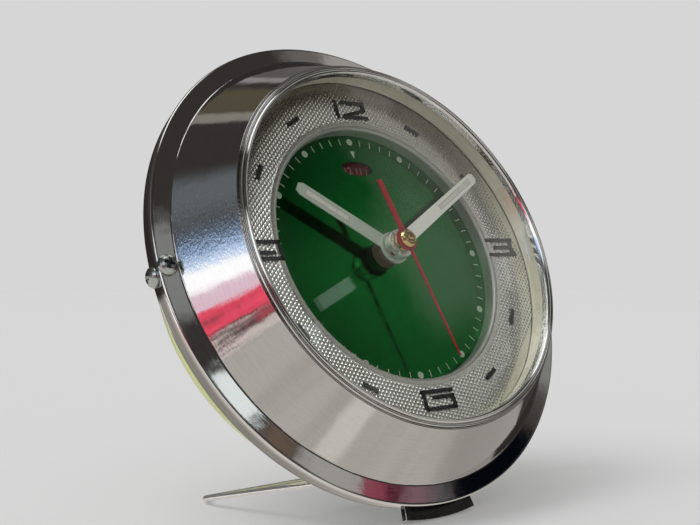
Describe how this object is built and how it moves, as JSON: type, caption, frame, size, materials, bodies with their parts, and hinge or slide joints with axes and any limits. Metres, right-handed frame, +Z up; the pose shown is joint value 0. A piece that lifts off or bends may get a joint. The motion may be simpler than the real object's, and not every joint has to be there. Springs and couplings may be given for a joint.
{
  "type": "mechanical alarm clock",
  "caption": "Round leaning alarm clock: chromed shell, green dial, alarm window, three hands, painted rear case, winding keys, setting knobs, wire stand and wound movement.",
  "frame": {"origin": "middle of the clock's outline seen from above, on the table that it stands on", "axes": "+Z up, +X towards three o'clock, -Y towards the person who reads the leaning dial"},
  "size_m": [0.1296, 0.0794, 0.118],
  "materials": {
    "chrome_shell": "bright chromed sheet, softly pitted",
    "polished_bezel": "bright polished",
    "crystal_clear": "clear, polished",
    "ivory_plastic": "smooth ivory",
    "silver_ring": "silvered, fine knurl",
    "black_ink": "printed black",
    "green_dial": "glossy green lacquer",
    "dark_bushing": "darkened",
    "alarm_red": "semi-gloss red",
    "nickel_hands": "brushed nickel",
    "red_hand": "gloss red",
    "brass": "turned and rolled brass",
    "steel": "ground steel",
    "spring_steel": "blued spring strip",
    "lime_paint": "smooth lime enamel",
    "nickel_fittings": "nickel plated",
    "stand_wire": "bright plated wire"
  },
  "bodies": {
    "clock_case": {"front_shell": "chrome_shell", "front_bezel": "polished_bezel", "crystal": "crystal_clear", "inner_wall_ring": "ivory_plastic", "chapter_ring": "silver_ring", "chapter_markings": "black_ink", "dial_plate": "green_dial", "dial_bushing": "dark_bushing", "front_plate": "brass", "back_plate": "brass", "plate_pillars": "brass", "pillar_nuts": "brass", "movement_screws": "steel", "time_mainspring": "spring_steel", "alarm_mainspring": "spring_steel", "hairspring": "spring_steel", "rear_case": "lime_paint", "rim_blocks": "steel", "rim_screws": "chrome_shell", "front_foot": "chrome_shell", "stand_brackets": "stand_wire"},
    "seconds_group": {"seconds_arbor": "steel", "seconds_wheel": "brass", "second_hand": "red_hand", "second_hand_boss": "brass"},
    "third_group": {"third_arbor": "steel", "third_wheel": "brass"},
    "escape_group": {"escape_arbor": "steel", "escape_wheel": "brass"},
    "centre_group": {"centre_arbor": "steel", "centre_wheel": "brass"},
    "time_great_group": {"time_great_wheel": "brass"},
    "minute_group": {"cannon_pinion": "brass", "minute_hand": "nickel_hands"},
    "hour_group": {"hour_wheel": "brass", "hour_hand": "nickel_hands"},
    "minute_wheel_group": {"minute_wheel": "brass"},
    "time_setting_group": {"time_set_arbor": "steel", "time_set_knob": "nickel_fittings"},
    "alarm_setting_group": {"alarm_set_arbor": "steel", "alarm_set_knob": "nickel_fittings"},
    "alarm_disc_group": {"alarm_wheel": "brass", "alarm_disc": "alarm_red"},
    "alarm_great_group": {"alarm_great_wheel": "brass"},
    "alarm_escape_group": {"alarm_escape_wheel": "brass"},
    "alarm_hammer_group": {"alarm_hammer": "steel"},
    "time_winding_group": {"time_winding_arbor": "steel", "time_ratchet_wheel": "steel", "time_winding_key": "nickel_fittings"},
    "alarm_winding_group": {"alarm_winding_arbor": "steel", "alarm_ratchet_wheel": "steel", "alarm_winding_key": "nickel_fittings"},
    "time_click_group": {"time_click": "steel"},
    "alarm_click_group": {"alarm_click": "steel"},
    "pallet_group": {"pallet_fork": "steel"},
    "balance_group": {"balance_staff": "steel", "balance_wheel": "brass"},
    "regulator_group": {"regulator_lever": "steel"},
    "stop_button_group": {"alarm_stop_button": "nickel_fittings"},
    "stand_group": {"wire_stand": "stand_wire"}
  },
  "joints": [
    {"name": "seconds_turn", "type": "hinge", "parent": "clock_case", "child": "seconds_group", "pos_m": [0, -0.00894, 0.06262], "axis": [0, -0.9063, 0.4226], "continuous": true},
    {"name": "third_turn", "type": "hinge", "parent": "clock_case", "child": "third_group", "pos_m": [0, -0.00133, 0.07893], "axis": [0, -0.9063, 0.4226], "continuous": true},
    {"name": "escape_turn", "type": "hinge", "parent": "clock_case", "child": "escape_group", "pos_m": [0.01691, -0.00634, 0.0682], "axis": [0, -0.9063, 0.4226], "continuous": true},
    {"name": "centre_turn", "type": "hinge", "parent": "clock_case", "child": "centre_group", "pos_m": [0, -0.00894, 0.06262], "axis": [0, -0.9063, 0.4226], "continuous": true},
    {"name": "time_great_turn", "type": "hinge", "parent": "clock_case", "child": "time_great_group", "pos_m": [-0.01917, -0.01461, 0.05045], "axis": [0, -0.9063, 0.4226], "continuous": true},
    {"name": "minute_turn", "type": "hinge", "parent": "clock_case", "child": "minute_group", "pos_m": [0, -0.00894, 0.06262], "axis": [0, -0.9063, 0.4226], "continuous": true},
    {"name": "hour_turn", "type": "hinge", "parent": "clock_case", "child": "hour_group", "pos_m": [0, -0.00894, 0.06262], "axis": [0, -0.9063, 0.4226], "continuous": true},
    {"name": "minute_wheel_turn", "type": "hinge", "parent": "clock_case", "child": "minute_wheel_group", "pos_m": [-0.01039, -0.0064, 0.06806], "axis": [0, -0.9063, 0.4226], "continuous": true},
    {"name": "time_set_turn", "type": "hinge", "parent": "clock_case", "child": "time_setting_group", "pos_m": [-0.02078, -0.00387, 0.07349], "axis": [0, -0.9063, 0.4226], "continuous": true},
    {"name": "alarm_set_turn", "type": "hinge", "parent": "clock_case", "child": "alarm_setting_group", "pos_m": [0.00219, -0.01649, 0.04643], "axis": [0, -0.9063, 0.4226], "continuous": true},
    {"name": "alarm_disc_turn", "type": "hinge", "parent": "clock_case", "child": "alarm_disc_group", "pos_m": [0, -0.00894, 0.06262], "axis": [0, -0.9063, 0.4226], "continuous": true},
    {"name": "alarm_great_turn", "type": "hinge", "parent": "clock_case", "child": "alarm_great_group", "pos_m": [0.0206, -0.01507, 0.04948], "axis": [0, -0.9063, 0.4226], "continuous": true},
    {"name": "alarm_escape_turn", "type": "hinge", "parent": "clock_case", "child": "alarm_escape_group", "pos_m": [0.01438, -0.0223, 0.03398], "axis": [0, -0.9063, 0.4226], "continuous": true},
    {"name": "time_winding_turn", "type": "hinge", "parent": "clock_case", "child": "time_winding_group", "pos_m": [-0.01917, -0.01461, 0.05045], "axis": [0, -0.9063, 0.4226], "continuous": true},
    {"name": "alarm_winding_turn", "type": "hinge", "parent": "clock_case", "child": "alarm_winding_group", "pos_m": [0.0206, -0.01507, 0.04948], "axis": [0, -0.9063, 0.4226], "continuous": true},
    {"name": "time_click_swing", "type": "hinge", "parent": "clock_case", "child": "time_click_group", "pos_m": [-0.0274, -0.01261, 0.05476], "axis": [0, -0.9063, 0.4226], "range_deg": [-12, 0]},
    {"name": "alarm_click_swing", "type": "hinge", "parent": "clock_case", "child": "alarm_click_group", "pos_m": [0.02883, -0.01306, 0.05378], "axis": [0, -0.9063, 0.4226], "range_deg": [0, 12]},
    {"name": "pallet_swing", "type": "hinge", "parent": "clock_case", "child": "pallet_group", "pos_m": [0.0249, -0.00511, 0.07083], "axis": [0, -0.9063, 0.4226], "range_deg": [-5, 5]},
    {"name": "balance_swing", "type": "hinge", "parent": "clock_case", "child": "balance_group", "pos_m": [0.03477, -0.00359, 0.07409], "axis": [0, -0.9063, 0.4226], "range_deg": [-150, 150], "stiffness_Nm_per_rad": 0.000002},
    {"name": "alarm_hammer_swing", "type": "hinge", "parent": "clock_case", "child": "alarm_hammer_group", "pos_m": [0.0064, -0.0223, 0.03398], "axis": [0, -0.9063, 0.4226], "range_deg": [-6, 6]},
    {"name": "regulator_swing", "type": "hinge", "parent": "clock_case", "child": "regulator_group", "pos_m": [0.03477, -0.00359, 0.07409], "axis": [0, -0.9063, 0.4226], "range_deg": [-20, 20]},
    {"name": "stop_button_slide", "type": "slide", "parent": "clock_case", "child": "stop_button_group", "axis": [0, -0.9063, 0.4226], "range_m": [0, 0.001]},
    {"name": "stand_fold", "type": "hinge", "parent": "clock_case", "child": "stand_group", "pos_m": [0, -0.02092, 0.0109], "axis": [1, 0, 0], "range_deg": [-100, 0]}
  ],
  "couplings": [
    {"joint": "third_turn", "follows": "seconds_turn", "ratio": -0.13333},
    {"joint": "escape_turn", "follows": "seconds_turn", "ratio": -8},
    {"joint": "centre_turn", "follows": "seconds_turn", "ratio": 0.016667},
    {"joint": "time_great_turn", "follows": "seconds_turn", "ratio": -0.0033333},
    {"joint": "hour_turn", "follows": "minute_turn", "ratio": 0.083333},
    {"joint": "minute_wheel_turn", "follows": "minute_turn", "ratio": -0.33333},
    {"joint": "time_set_turn", "follows": "minute_turn", "ratio": 1},
    {"joint": "alarm_disc_turn", "follows": "alarm_set_turn", "ratio": -0.25},
    {"joint": "alarm_escape_turn", "follows": "alarm_great_turn", "ratio": -6}
  ]
}
